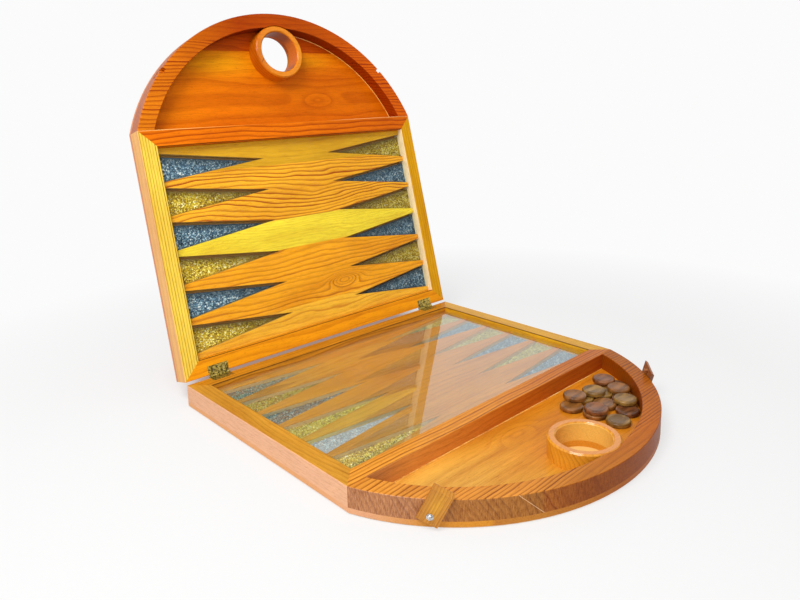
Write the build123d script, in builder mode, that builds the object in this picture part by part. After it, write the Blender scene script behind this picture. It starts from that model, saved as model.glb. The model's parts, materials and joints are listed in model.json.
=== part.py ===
from build123d import *
import os
from math import atan2, cos, radians, sin, sqrt

# A folding backgammon box: two D-shaped pine trays hinged along their straight edges.
# Each leaf is modelled lying face up in its own leaf frame, with X along the hinge,
# Y from the hinge edge towards the arch and Z up from the underside, then placed.

os.makedirs("parts", exist_ok=True)

# Leaf outline and stock
leaf_width = 450
straight_depth = 312
arch_rise = 159
base_thickness = 7
frame_height = 21
strip_width = 21.5
rim_width = 20.5
base_bevel = 1.8
edge_bevel = 0.7

# Hand hole and the turned ring around it
hand_hole_radius = 29
ring_wall = 9
ring_let_in = 3.2
ring_bevel = 1.8
ring_seat_gap = 0.1

# Playing field: a cut-out board over coloured granules, under a pane
points_per_side = 6
point_gap = 6.8
point_length = 149
board_thickness = 12
board_gap = 0.3
granule_depth = 7.5
granule_gap = 0.3
granule_settling = 3.3
glass_thickness = 3
glass_gap = 0.9

# Fold between the leaves
opening_angle = 104.5
face_gap = 0.5
hinge_offset = 2.2
hinge_inset = 44
hinge_length = 27
hinge_reach = 11
plate_thickness = 1.2
plate_gap = 0.1
recess_gap = 0.2
barrel_radius = 1.9
knuckle_count = 3
knuckle_gap = 0.2
pin_radius = 0.9
pin_fit = 0.05
pin_overhang = 0.6
hinge_screw_spread = 15
hinge_screw_radius = 1.1
hinge_screw_head = 2.1
hinge_screw_length = 10
countersink_gap = 0.1

# Turn latches on the rim of the lower leaf and their catches in the upper rim
latch_angle = 51.6
latch_tilt = 27
latch_width = 21
latch_length = 35.5
latch_thickness = 4.2
latch_tail = 7
latch_pivot_height = 14
latch_play = 0.3
latch_bevel = 3.4
peg_radius = 2.2
peg_inset = 5.5
peg_reach = 5
peg_seat = 2.4
peg_fit = 0.05
peg_bevel = 0.5
catch_gap = 0.6
catch_travel_gap = 1.2
latch_screw_radius = 1.3
latch_screw_length = 14
latch_screw_fit = 0.05
latch_head_radius = 2.5
latch_head_height = 1.6
latch_head_bevel = 0.7
latch_slot_width = 0.7
latch_slot_depth = 0.7
latch_slot_turn = 40
washer_radius = 3.3
washer_thickness = 0.6
washer_gap = 0.1

# Checkers, heaped two deep in one corner of the lower tray
checker_radius = 14
checker_thickness = 5.5
checker_bevel = 1
heap_gap = 0.4

# Their places in checker diameters: outwards from the heap's inner edge, up from the divider
lower_layer = [
    (0.61, 1.32), (0.75, 2.36), (0.82, 3.39), (1.86, 3.21), (1.75, 2.21),
    (2.71, 2.54), (1.64, 1.18), (2.61, 1.54), (3.64, 1.57),
]
upper_layer = [
    (1.21, 1.07), (0.79, 2.39), (2.18, 1.39), (2.36, 2.82), (3.14, 2.04), (3.5, 1.07),
]

# Values that follow from the driving dimensions
half_width = leaf_width / 2
leaf_depth = straight_depth + arch_rise
arch_radius = (half_width**2 + arch_rise**2) / (2 * arch_rise)
arch_centre = leaf_depth - arch_radius
rim_inner_radius = arch_radius - rim_width
face_height = base_thickness + frame_height
ring_outer_radius = hand_hole_radius + ring_wall
ring_centre = leaf_depth - rim_width + ring_let_in - ring_outer_radius
inner_half_width = half_width - strip_width
field_depth = straight_depth - 2 * strip_width
point_pitch = (field_depth - point_gap) / points_per_side
point_base = point_pitch - point_gap
axis_height = face_height + face_gap / 2
plate_top = axis_height - plate_gap
plate_floor = plate_top - plate_thickness
knuckle_length = hinge_length / knuckle_count
hinge_centres = (hinge_inset - half_width, half_width - hinge_inset)

# The origin is the middle of the lower leaf's underside
hinge_edge_y = leaf_depth / 2
axis_y = hinge_edge_y + hinge_offset
lower_place = Location((0, hinge_edge_y, 0), (0, 0, 180))
upper_place = (
    Location((0, axis_y, axis_height))
    * Location((0, 0, 0), (180 - opening_angle, 0, 0))
    * Location((0, hinge_offset, -axis_height))
)


def write_piece(piece, name, place):
    """Put a piece where its leaf stands, name it and write it."""
    placed = piece.moved(place)
    placed.label = name
    export_step(placed, f"parts/{name}.step")


def make_leaf_outline():
    """Rectangle closed by the arch."""
    with BuildSketch() as leaf_outline:
        with BuildLine():
            Polyline(
                (half_width, straight_depth),
                (half_width, 0),
                (-half_width, 0),
                (-half_width, straight_depth),
            )
            ThreePointArc(
                (-half_width, straight_depth), (0, leaf_depth), (half_width, straight_depth)
            )
        make_face()
    return leaf_outline.sketch


def make_base_panel():
    """Bottom board with the hand hole and a bevelled lower edge."""
    with BuildPart() as base_panel:
        with BuildSketch():
            add(make_leaf_outline())
            with Locations((0, ring_centre)):
                Circle(hand_hole_radius, mode=Mode.SUBTRACT)
        extrude(amount=base_thickness)
        underside = base_panel.faces().sort_by(Axis.Z)[0]
        chamfer(underside.outer_wire().edges(), base_bevel)
    return base_panel.part


def make_strip(outline, length_axis):
    """Mitred frame strip over the base, its two long upper edges bevelled."""
    with BuildPart() as strip:
        with BuildSketch(Plane.XY.offset(base_thickness)):
            with BuildLine():
                Polyline(*outline, close=True)
            make_face()
        extrude(amount=frame_height)
        chamfer(strip.edges().filter_by(length_axis).group_by(Axis.Z)[-1], edge_bevel)
    return strip.part


def make_stile(side):
    """Side strip on leaf +X or -X, mitred at both ends."""
    outline = [
        (side * half_width, 0),
        (side * half_width, straight_depth),
        (side * inner_half_width, straight_depth - strip_width),
        (side * inner_half_width, strip_width),
    ]
    return make_strip(outline, Axis.Y)


def make_divider_rail():
    """Strip between the field and the tray, mitred into the stiles."""
    outline = [
        (-half_width, straight_depth),
        (half_width, straight_depth),
        (inner_half_width, straight_depth - strip_width),
        (-inner_half_width, straight_depth - strip_width),
    ]
    return make_strip(outline, Axis.X)


def hinge_screw_spots():
    """Two screw places on each of the two hinges of a leaf."""
    return [
        (centre_x + side * hinge_screw_spread / 2, hinge_reach / 2)
        for centre_x in hinge_centres
        for side in (-1, 1)
    ]


def make_hinge_rail():
    """Strip along the hinge edge with shallow recesses and pilot holes."""
    outline = [
        (-half_width, 0),
        (half_width, 0),
        (inner_half_width, strip_width),
        (-inner_half_width, strip_width),
    ]
    recess_depth = face_height - plate_floor
    with BuildPart() as hinge_rail:
        add(make_strip(outline, Axis.X))
        with BuildSketch(Plane.XY.offset(plate_floor)):
            with Locations(*[(centre_x, 0) for centre_x in hinge_centres]):
                Rectangle(
                    hinge_length + 2 * recess_gap,
                    2 * (hinge_reach + recess_gap),
                )
        extrude(amount=recess_depth, mode=Mode.SUBTRACT)
        with BuildSketch(Plane.XY.offset(plate_top - hinge_screw_length)):
            with Locations(*hinge_screw_spots()):
                Circle(hinge_screw_radius)
        extrude(amount=hinge_screw_length, mode=Mode.SUBTRACT)
    return hinge_rail.part


def make_arch_rim():
    """Curved wall of the tray, hollowed where the ring is let into it."""
    end_depth = straight_depth - arch_centre
    inner_x = sqrt(rim_inner_radius**2 - end_depth**2)
    inner_top = arch_centre + rim_inner_radius
    with BuildPart() as arch_rim:
        with BuildSketch(Plane.XY.offset(base_thickness)):
            with BuildLine():
                ThreePointArc(
                    (-half_width, straight_depth), (0, leaf_depth), (half_width, straight_depth)
                )
                Line((half_width, straight_depth), (inner_x, straight_depth))
                ThreePointArc(
                    (inner_x, straight_depth), (0, inner_top), (-inner_x, straight_depth)
                )
                Line((-inner_x, straight_depth), (-half_width, straight_depth))
            make_face()
        extrude(amount=frame_height)
        upper_edges = arch_rim.edges().group_by(Axis.Z)[-1]
        chamfer(upper_edges.filter_by(GeomType.CIRCLE), edge_bevel)
        with BuildSketch(Plane.XY.offset(base_thickness)):
            with Locations((0, ring_centre)):
                Circle(ring_outer_radius + ring_seat_gap)
        extrude(amount=frame_height, mode=Mode.SUBTRACT)
    return arch_rim.part


def make_grip_ring():
    """Turned ring that lines the hand hole, bevelled inside and out."""
    with BuildPart() as grip_ring:
        with BuildSketch(Plane.XY.offset(base_thickness)):
            with Locations((0, ring_centre)):
                Circle(ring_outer_radius)
                Circle(hand_hole_radius, mode=Mode.SUBTRACT)
        extrude(amount=frame_height)
        chamfer(grip_ring.edges().group_by(Axis.Z)[-1], ring_bevel)
    return grip_ring.part


def point_rows():
    """Middle of each row of points, counted from the hinge."""
    first = strip_width + point_gap + point_base / 2
    return [first + row * point_pitch for row in range(points_per_side)]


def point_outline(side, row_y):
    """Long triangle with its base on a stile and its tip towards the middle."""
    base_x = side * inner_half_width
    tip_x = side * (inner_half_width - point_length)
    return [
        (base_x, row_y - point_base / 2),
        (base_x, row_y + point_base / 2),
        (tip_x, row_y),
    ]


def make_field_board():
    """Board with twelve pointed cut-outs that open at its side edges."""
    field_middle = straight_depth / 2
    with BuildPart() as field_board:
        with BuildSketch(Plane.XY.offset(base_thickness)):
            with Locations((0, field_middle)):
                Rectangle(2 * (inner_half_width - board_gap), field_depth - 2 * board_gap)
            for side in (-1, 1):
                for row_y in point_rows():
                    with BuildLine():
                        Polyline(*point_outline(side, row_y), close=True)
                    make_face(mode=Mode.SUBTRACT)
        extrude(amount=board_thickness)
    return field_board.part


def make_granules(starts_at_hinge_on, settling):
    """Every second bed of granules, the first one against the hinge on one side.

    The settling is how far loose granules have sunk from the edges away from the hinge.
    """
    with BuildPart() as granules:
        for side in (-1, 1):
            for row, row_y in enumerate(point_rows()):
                first_row = 0 if side == starts_at_hinge_on else 1
                if row % 2 != first_row:
                    continue
                with BuildSketch(Plane.XY.offset(base_thickness)):
                    with BuildLine():
                        Polyline(*point_outline(side, row_y), close=True)
                    make_face()
                    with BuildLine():
                        Polyline(*point_outline(side, row_y - settling), close=True)
                    make_face(mode=Mode.INTERSECT)
                    offset(amount=-granule_gap, kind=Kind.INTERSECTION, mode=Mode.REPLACE)
                extrude(amount=granule_depth)
    return granules.part


def make_glass_pane():
    """Flat pane that lies on the board inside the frame."""
    with BuildPart() as glass_pane:
        with BuildSketch(Plane.XY.offset(base_thickness + board_thickness)):
            with Locations((0, straight_depth / 2)):
                Rectangle(2 * (inner_half_width - glass_gap), field_depth - 2 * glass_gap)
        extrude(amount=glass_thickness)
    return glass_pane.part


def knuckle_starts(centre_x, parity):
    """Start of every second knuckle of one hinge, the even or the odd ones."""
    start = centre_x - hinge_length / 2
    return [start + index * knuckle_length for index in range(parity, knuckle_count, 2)]


def make_hinge_plates(parity):
    """Brass leaves of the two butt hinges on one side, with their share of the knuckles."""
    with BuildPart() as hinge_plates:
        for centre_x in hinge_centres:
            with BuildSketch(Plane.XY.offset(plate_floor)):
                with Locations((centre_x, (hinge_reach - hinge_offset) / 2)):
                    Rectangle(hinge_length, hinge_reach + hinge_offset)
            extrude(amount=plate_thickness)
            for start in knuckle_starts(centre_x, 1 - parity):
                with BuildSketch(Plane.YZ.offset(start - knuckle_gap / 2)):
                    with Locations((-hinge_offset, axis_height)):
                        Circle(barrel_radius + knuckle_gap)
                extrude(amount=knuckle_length + knuckle_gap, mode=Mode.SUBTRACT)
            for start in knuckle_starts(centre_x, parity):
                with BuildSketch(Plane.YZ.offset(start + knuckle_gap / 2)):
                    with Locations((-hinge_offset, axis_height)):
                        Circle(barrel_radius)
                extrude(amount=knuckle_length - knuckle_gap)
            with BuildSketch(Plane.YZ.offset(centre_x - hinge_length / 2)):
                with Locations((-hinge_offset, axis_height)):
                    Circle(pin_radius + pin_fit)
            extrude(amount=hinge_length, mode=Mode.SUBTRACT)
        for spot_x, spot_y in hinge_screw_spots():
            with Locations((spot_x, spot_y, plate_floor + plate_thickness / 2)):
                Cone(
                    hinge_screw_radius + countersink_gap,
                    hinge_screw_head + countersink_gap,
                    plate_thickness,
                    mode=Mode.SUBTRACT,
                )
    return hinge_plates.part


def make_hinge_pins():
    """Pins through all knuckles of both hinges, standing a little proud."""
    pin_length = hinge_length + 2 * pin_overhang
    with BuildPart() as hinge_pins:
        for centre_x in hinge_centres:
            with BuildSketch(Plane.YZ.offset(centre_x - pin_length / 2)):
                with Locations((-hinge_offset, axis_height)):
                    Circle(pin_radius)
            extrude(amount=pin_length)
    return hinge_pins.part


def make_hinge_screws():
    """Countersunk screws of both hinge plates on one leaf."""
    with BuildPart() as hinge_screws:
        for spot_x, spot_y in hinge_screw_spots():
            with BuildSketch(Plane.XY.offset(plate_top - hinge_screw_length)):
                with Locations((spot_x, spot_y)):
                    Circle(hinge_screw_radius)
            extrude(amount=hinge_screw_length - plate_thickness)
            with Locations((spot_x, spot_y, plate_floor + plate_thickness / 2)):
                Cone(hinge_screw_radius, hinge_screw_head, plate_thickness)
    return hinge_screws.part


def rim_plane(height):
    """Plane on the rim's outer face at the latch: Z outwards, Y up, X to the arch top."""
    turn = radians(latch_angle)
    spot = (arch_radius * sin(turn), arch_centre + arch_radius * cos(turn), height)
    return Plane(origin=spot, x_dir=(-cos(turn), sin(turn), 0), z_dir=(sin(turn), cos(turn), 0))


# Turn latch: a flat wooden plate, bevelled at its free end, with an inward peg
peg_height = latch_length - latch_tail - peg_inset
latch_front = latch_play + latch_thickness
pivot_plane = rim_plane(latch_pivot_height)
tilted_plane = Plane(pivot_plane.location * Location((0, 0, 0), (0, 0, -latch_tilt)))
outward_axis = Axis(pivot_plane.origin, pivot_plane.z_dir)


def make_latch():
    """Latch on the leaf's +X side, leaning towards the arch top as it rests open."""
    with BuildPart() as latch:
        with BuildSketch(tilted_plane.offset(latch_play)):
            with Locations((0, latch_length / 2 - latch_tail)):
                Rectangle(latch_width, latch_length)
        extrude(amount=latch_thickness)
        front_edges = latch.faces().sort_by(outward_axis)[-1].edges()
        chamfer(front_edges.sort_by(Axis.Z)[-1], latch_bevel)
        with BuildSketch(tilted_plane.offset(latch_play)):
            Circle(latch_screw_radius + latch_screw_fit)
        extrude(amount=latch_thickness, mode=Mode.SUBTRACT)
        with BuildSketch(tilted_plane.offset(latch_play)):
            with Locations((0, peg_height)):
                Circle(peg_radius + peg_fit)
        extrude(amount=peg_seat, mode=Mode.SUBTRACT)
    return latch.part


def make_latch_peg():
    """Peg let into the latch's back near its free end, rounded off at its tip."""
    with BuildPart() as latch_peg:
        with BuildSketch(tilted_plane.offset(latch_play + peg_seat)):
            with Locations((0, peg_height)):
                Circle(peg_radius)
        extrude(amount=-(peg_seat + peg_reach))
        tip = latch_peg.faces().sort_by(outward_axis)[0]
        chamfer(tip.edges(), peg_bevel)
    return latch_peg.part


def make_latch_washer():
    """Flat washer under the head of the latch screw."""
    with BuildPart() as latch_washer:
        with BuildSketch(pivot_plane.offset(latch_front + washer_gap)):
            Circle(washer_radius)
            Circle(latch_screw_radius + latch_screw_fit, mode=Mode.SUBTRACT)
        extrude(amount=washer_thickness)
    return latch_washer.part


def make_latch_screw():
    """Pan-head screw that the latch turns on, with one driving slot."""
    head_seat = latch_front + 2 * washer_gap + washer_thickness
    with BuildPart() as latch_screw:
        with BuildSketch(pivot_plane.offset(-latch_screw_length)):
            Circle(latch_screw_radius)
        extrude(amount=latch_screw_length + head_seat)
        with BuildSketch(pivot_plane.offset(head_seat)):
            Circle(latch_head_radius)
        extrude(amount=latch_head_height)
        head_top = latch_screw.faces().sort_by(outward_axis)[-1]
        chamfer(head_top.edges(), latch_head_bevel)
        with BuildSketch(pivot_plane.offset(head_seat + latch_head_height)):
            Rectangle(2 * latch_head_radius, latch_slot_width, rotation=latch_slot_turn)
        extrude(amount=-latch_slot_depth, mode=Mode.SUBTRACT)
    return latch_screw.part


def make_pair(piece):
    """The same piece on both sides of the leaf, as two solids."""
    with BuildPart() as pair:
        add(piece)
        mirror(piece, about=Plane.YZ)
    return pair.part


def make_drilled_rim():
    """Rim of the lower leaf with the pilot holes of the latch screws."""
    with BuildPart() as pilot_hole:
        with BuildSketch(pivot_plane.offset(-latch_screw_length)):
            Circle(latch_screw_radius + latch_screw_fit)
        extrude(amount=2 * latch_screw_length)
    with BuildPart() as drilled_rim:
        add(make_arch_rim())
        add(make_pair(pilot_hole.part), mode=Mode.SUBTRACT)
    return drilled_rim.part


def turned_point(radius, turn):
    """Point at a radius below the latch pivot, turned towards the arch top."""
    return (radius * sin(turn), -radius * cos(turn))


def make_catch_rim():
    """Rim of the upper leaf with a bayonet slot on each side for the latch pegs.

    The peg goes in from the face at its resting tilt, then turns in the curved part
    until it stands behind a ledge of wood.
    """
    pivot_above_face = face_height - latch_pivot_height + face_gap
    half_slot = peg_radius + catch_gap
    near = peg_height - half_slot
    far = peg_height + half_slot
    spread = atan2(half_slot, near)
    tilt = radians(latch_tilt)
    channel_width = 2 * half_slot + catch_travel_gap
    channel_middle = peg_height * sin(tilt) + catch_travel_gap / 2
    channel_foot = -(peg_height * cos(tilt) + half_slot)
    slot_depth = peg_reach - latch_play + catch_gap
    catch_plane = rim_plane(face_height + pivot_above_face)
    with BuildPart() as slot:
        with BuildSketch(catch_plane.offset(-slot_depth)):
            with BuildLine():
                ThreePointArc(
                    turned_point(near, -spread),
                    turned_point(near, tilt / 2),
                    turned_point(near, tilt + spread),
                )
                Line(turned_point(near, tilt + spread), turned_point(far, tilt + spread))
                ThreePointArc(
                    turned_point(far, tilt + spread),
                    turned_point(far, tilt / 2),
                    turned_point(far, -spread),
                )
                Line(turned_point(far, -spread), turned_point(near, -spread))
            make_face()
            with Locations((channel_middle, channel_foot / 2)):
                Rectangle(channel_width, -channel_foot)
        extrude(amount=2 * slot_depth)
    with BuildPart() as catch_rim:
        add(make_arch_rim())
        add(make_pair(slot.part), mode=Mode.SUBTRACT)
    return catch_rim.part


def heap_start():
    """Inner edge of the heap, pushed outwards until one checker meets the rim."""
    free_radius = rim_inner_radius - checker_radius - heap_gap
    diameter = 2 * checker_radius
    room = []
    for across, up in lower_layer + upper_layer:
        rise = straight_depth + up * diameter - arch_centre
        room.append(sqrt(free_radius**2 - rise**2) - across * diameter)
    return min(room)


def make_checkers(layer_spots, layer):
    """Turned discs with bevelled edges, lying flat in one layer of the heap."""
    diameter = 2 * checker_radius
    start = heap_start()
    centres = [
        (-start - across * diameter, straight_depth + up * diameter)
        for across, up in layer_spots
    ]
    with BuildPart() as checkers:
        with BuildSketch(Plane.XY.offset(base_thickness + layer * checker_thickness)):
            with Locations(*centres):
                Circle(checker_radius)
        extrude(amount=checker_thickness)
        chamfer(checkers.edges().filter_by(GeomType.CIRCLE), checker_bevel)
    return checkers.part


# Both leaves have the same pieces, apart from the rims and the sides' names
leaf_pieces = {
    "base_panel": make_base_panel(),
    "hinge_rail": make_hinge_rail(),
    "divider_rail": make_divider_rail(),
    "grip_ring": make_grip_ring(),
    "field_board": make_field_board(),
    "glass_pane": make_glass_pane(),
    "hinge_screws": make_hinge_screws(),
}
for name, piece in leaf_pieces.items():
    write_piece(piece, f"lower_{name}", lower_place)
    write_piece(piece, f"upper_{name}", upper_place)
write_piece(make_drilled_rim(), "lower_arch_rim", lower_place)
write_piece(make_catch_rim(), "upper_arch_rim", upper_place)

# The loose granules have sunk in the leaf that stands up
for colour, first_side in (("blue", 1), ("gold", -1)):
    write_piece(make_granules(first_side, 0), f"lower_{colour}_granules", lower_place)
    write_piece(
        make_granules(first_side, granule_settling), f"upper_{colour}_granules", upper_place
    )

# Left and right are as seen from the arch end of the lower leaf
for side_name, lower_side in (("left", 1), ("right", -1)):
    write_piece(make_stile(lower_side), f"lower_{side_name}_stile", lower_place)
    write_piece(make_stile(-lower_side), f"upper_{side_name}_stile", upper_place)

# The hinges are alike, so each hinge part is one group of two solids
write_piece(make_hinge_plates(0), "lower_hinge_plates", lower_place)
write_piece(make_hinge_plates(1), "upper_hinge_plates", upper_place)
write_piece(make_hinge_pins(), "hinge_pins", lower_place)

latch_pieces = {"latch": make_latch(), "latch_peg": make_latch_peg()}
for name, piece in latch_pieces.items():
    write_piece(piece, f"left_{name}", lower_place)
    write_piece(piece.mirror(Plane.YZ), f"right_{name}", lower_place)
write_piece(make_pair(make_latch_washer()), "latch_washers", lower_place)
write_piece(make_pair(make_latch_screw()), "latch_screws", lower_place)

write_piece(make_checkers(lower_layer, 0), "checkers_below", lower_place)
write_piece(make_checkers(upper_layer, 1), "checkers_on_top", lower_place)
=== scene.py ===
import json
import math
import random

import bmesh
import bpy
from mathutils import Matrix, Vector


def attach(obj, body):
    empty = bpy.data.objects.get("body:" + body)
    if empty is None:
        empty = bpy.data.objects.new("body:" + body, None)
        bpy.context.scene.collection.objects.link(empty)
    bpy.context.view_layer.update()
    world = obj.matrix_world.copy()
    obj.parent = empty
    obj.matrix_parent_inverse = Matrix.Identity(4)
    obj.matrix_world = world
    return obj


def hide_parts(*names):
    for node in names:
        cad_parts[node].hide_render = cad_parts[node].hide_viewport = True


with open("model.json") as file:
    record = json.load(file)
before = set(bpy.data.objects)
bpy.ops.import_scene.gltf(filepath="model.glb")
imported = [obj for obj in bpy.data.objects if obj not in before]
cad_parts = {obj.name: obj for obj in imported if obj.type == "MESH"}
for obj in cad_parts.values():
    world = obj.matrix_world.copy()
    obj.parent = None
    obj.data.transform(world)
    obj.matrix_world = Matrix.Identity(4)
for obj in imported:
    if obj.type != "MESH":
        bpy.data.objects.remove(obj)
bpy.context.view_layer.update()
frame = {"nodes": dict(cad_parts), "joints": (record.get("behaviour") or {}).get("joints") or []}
nodes = frame["nodes"]
joints = {joint["name"]: joint for joint in frame["joints"]}
fold = joints["fold"]

# The leaves' own frames: X along the hinge, Y towards the arch, Z up from the underside.
OPENING = math.radians(-fold["range_deg"][0])
HINGE_EDGE_Y = 0.2355
HINGE_OFFSET = fold["pos_m"][1] - HINGE_EDGE_Y
AXIS_HEIGHT = fold["pos_m"][2]
LOWER = Matrix.Translation((0, HINGE_EDGE_Y, 0)) @ Matrix.Rotation(math.pi, 4, "Z")
UPPER = (
    Matrix.Translation(fold["pos_m"])
    @ Matrix.Rotation(math.pi - OPENING, 4, "X")
    @ Matrix.Translation((0, HINGE_OFFSET, -AXIS_HEIGHT))
)
LEAVES = {"lower": LOWER, "upper": UPPER}
BODIES = {"lower": "lower_leaf", "upper": "upper_leaf"}
MM = 0.001


# Shader helpers

class Shader:
    """A material whose nodes are added and linked by short calls."""

    def __init__(self, name):
        self.material = bpy.data.materials.new(name)
        self.material.use_nodes = True
        self.tree = self.material.node_tree
        self.tree.nodes.clear()
        self.output = self.tree.nodes.new("ShaderNodeOutputMaterial")

    def node(self, kind, **settings):
        made = self.tree.nodes.new("ShaderNode" + kind)
        for key, value in settings.items():
            setattr(made, key, value)
        return made

    def feed(self, socket, value):
        """Links an output to a socket, or sets a plain value on it."""
        if isinstance(value, bpy.types.NodeSocket):
            self.tree.links.new(value, socket)
        elif isinstance(value, tuple) and len(value) == 3 and socket.type == "RGBA":
            socket.default_value = (*value, 1)
        else:
            socket.default_value = value

    def math(self, operation, *values):
        made = self.node("Math", operation=operation)
        for socket, value in zip(made.inputs, values):
            self.feed(socket, value)
        return made.outputs[0]

    def reach(self, a, b):
        """The root of the sum of two squares."""
        squares = self.math("ADD", self.math("MULTIPLY", a, a), self.math("MULTIPLY", b, b))
        return self.math("SQRT", squares)

    def leaf_coordinates(self, matrix):
        """Places in the frame of the matrix, in millimetres, as separate outputs."""
        inverse = matrix.inverted()
        mapping = self.node("Mapping")
        self.feed(mapping.inputs["Vector"], self.node("TexCoord").outputs["Object"])
        mapping.inputs["Location"].default_value = inverse.to_translation() / MM
        mapping.inputs["Rotation"].default_value = inverse.to_euler("XYZ")
        mapping.inputs["Scale"].default_value = (1 / MM, 1 / MM, 1 / MM)
        parts = self.node("SeparateXYZ")
        self.feed(parts.inputs[0], mapping.outputs[0])
        return parts.outputs[0], parts.outputs[1], parts.outputs[2]

    def vector(self, x, y, z):
        made = self.node("CombineXYZ")
        for socket, value in zip(made.inputs, (x, y, z)):
            self.feed(socket, value)
        return made.outputs[0]

    def stretched(self, places, lengths):
        """The places divided by a length in each direction, as a vector for a texture."""
        return self.vector(*[self.math("DIVIDE", place, length) for place, length in zip(places, lengths)])

    def noise(self, vector, seed=0.0, detail=2.0, roughness=0.5):
        made = self.node("TexNoise", noise_dimensions="4D")
        self.feed(made.inputs["Vector"], vector)
        self.feed(made.inputs["W"], seed)
        made.inputs["Scale"].default_value = 1.0
        made.inputs["Detail"].default_value = detail
        made.inputs["Roughness"].default_value = roughness
        return made.outputs[0]

    def ramp(self, factor, stops, interpolation="LINEAR"):
        made = self.node("ValToRGB")
        made.color_ramp.interpolation = interpolation
        elements = made.color_ramp.elements
        elements.remove(elements[1])
        for index, (position, colour) in enumerate(stops):
            element = elements[0] if index == 0 else elements.new(position)
            element.position = position
            element.color = (*colour, 1) if isinstance(colour, tuple) else (colour, colour, colour, 1)
        self.feed(made.inputs[0], factor)
        return made.outputs[0]

    def mix(self, factor, a, b, blend="MIX"):
        made = self.node("Mix", data_type="RGBA", blend_type=blend)
        self.feed(made.inputs[0], factor)
        self.feed(made.inputs[6], a)
        self.feed(made.inputs[7], b)
        return made.outputs[2]

    def remap(self, value, low, high, start=0.0, end=1.0):
        """The value's start to end stretched over low to high, and held there outside it."""
        made = self.node("MapRange")
        self.feed(made.inputs[0], value)
        for socket, number in zip(made.inputs[1:5], (start, end, low, high)):
            socket.default_value = number
        return made.outputs[0]

    def hill(self, x, y, at_x, at_y, length, width):
        """One at a spot, falling to nothing over its length and width."""
        u = self.math("DIVIDE", self.math("SUBTRACT", x, at_x), length)
        v = self.math("DIVIDE", self.math("SUBTRACT", y, at_y), width)
        squares = self.math("ADD", self.math("MULTIPLY", u, u), self.math("MULTIPLY", v, v))
        return self.math("EXPONENT", self.math("MULTIPLY", squares, -1.0))

    def bump(self, height, distance, strength=1.0):
        made = self.node("Bump")
        made.inputs["Strength"].default_value = strength
        made.inputs["Distance"].default_value = distance
        self.feed(made.inputs["Height"], height)
        return made.outputs["Normal"]

    def blend(self, factor, first, second):
        """The first shader where the factor is nothing, the second where it is one."""
        made = self.node("MixShader")
        for socket, value in zip(made.inputs, (factor, first, second)):
            self.feed(socket, value)
        return made.outputs[0]

    def filled(self, kind, **settings):
        """The first output of a node whose sockets are set by name."""
        made = self.node(kind)
        for key, value in settings.items():
            self.feed(made.inputs[key.replace("_", " ")], value)
        return made.outputs[0]

    def principled(self, **settings):
        self.feed(self.output.inputs["Surface"], self.filled("BsdfPrincipled", **settings))


def add_object(name, data):
    made = bpy.data.objects.new(name, data)
    bpy.context.scene.collection.objects.link(made)
    return made


def add_mesh(name, mesh, material):
    """A new object from a finished bmesh, which is freed."""
    data = bpy.data.meshes.new(name)
    mesh.to_mesh(data)
    mesh.free()
    data.materials.append(material)
    return add_object(name, data)


def srgb(red, green, blue):
    """Linear colour of an 8-bit display colour."""
    out = []
    for value in (red, green, blue):
        value /= 255
        out.append(value / 12.92 if value <= 0.04045 else ((value + 0.055) / 1.055) ** 2.4)
    return tuple(out)


# Sizes of a leaf in its own frame, in millimetres
STRAIGHT_DEPTH = 312.0
RIM_CENTRE = 232.302
RIM_RADIUS = 238.698
RIM_INNER_RADIUS = 218.198
HALF_WIDTH = 225.0
FIELD_HALF_WIDTH = 203.5
FIELD_MIDDLE = 156.0
FIELD_HALF_DEPTH = 134.5
FACE_HEIGHT = 28.0
BOARD_TOP = 19.0
TRAY_FLOOR = 7.0
RING_CENTRE = 415.7
RING_RADIUS = 38.0
HOLE_RADIUS = 29.0

# Lengths of the figures in the wood along the grain, across it and through the board, in millimetres
WAVES = (190.0, 55.0, 55.0)
RIPPLES = (34.0, 11.0, 11.0)
CLOUDS = (120.0, 26.0, 26.0)
FIBRES = (16.0, 0.55, 0.55)
PORES = (5.0, 0.35, 0.35)

# The flecks along X, Y and Z, and how far a glue line goes from its point, in millimetres
RAYS = (0.8, 0.8, 5.0)
GLUE_LENGTH = 40.0

# The ripples' share of the waves, the relief of the grain in metres, and the varnish
RIPPLE_SHARE = 0.22
GRAIN_DEPTH = 0.00009
WOOD_ROUGHNESS = 0.42

# A ramp holds the boards' steps between nothing and one: the margin beyond the edges in mm, and the largest values
STEP_MARGIN = 50.0
SEED_RANGE = 10.0
GAP_RANGE = 20.0


class Plank:
    """One board's colours and growth rings: lengths in mm, start is its first edge across the grain."""

    def __init__(self, light, dark, start=-1000.0, gap=4.0, contrast=0.7, seed=0.0):
        self.light = light
        self.dark = dark
        self.start = start
        self.gap = gap
        self.contrast = contrast
        self.seed = seed


def across_planks(shader, across, planks, read):
    """One value or colour for each plank, in steps across the boards."""
    if len(planks) == 1:
        return read(planks[0])
    first = planks[1].start - STEP_MARGIN
    last = planks[-1].start + STEP_MARGIN
    position = shader.remap(across, 0.0, 1.0, first, last)
    stops = [(max(0.0, (plank.start - first) / (last - first)), read(plank)) for plank in planks]
    return shader.ramp(position, stops, "CONSTANT")


def evenly(red, green, blue):
    """Stops for one display colour everywhere."""
    return [(-HALF_WIDTH, (red, green, blue)), (HALF_WIDTH, (red, green, blue))]


def along_hinge(shader, x, stops):
    """A colour that changes with X, from stops of X in mm and display colour."""
    reach = HALF_WIDTH + 25
    position = shader.remap(x, 0.0, 1.0, -reach, reach)
    return shader.ramp(position, [((at + reach) / (2 * reach), srgb(*colour)) for at, colour in stops])


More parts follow.
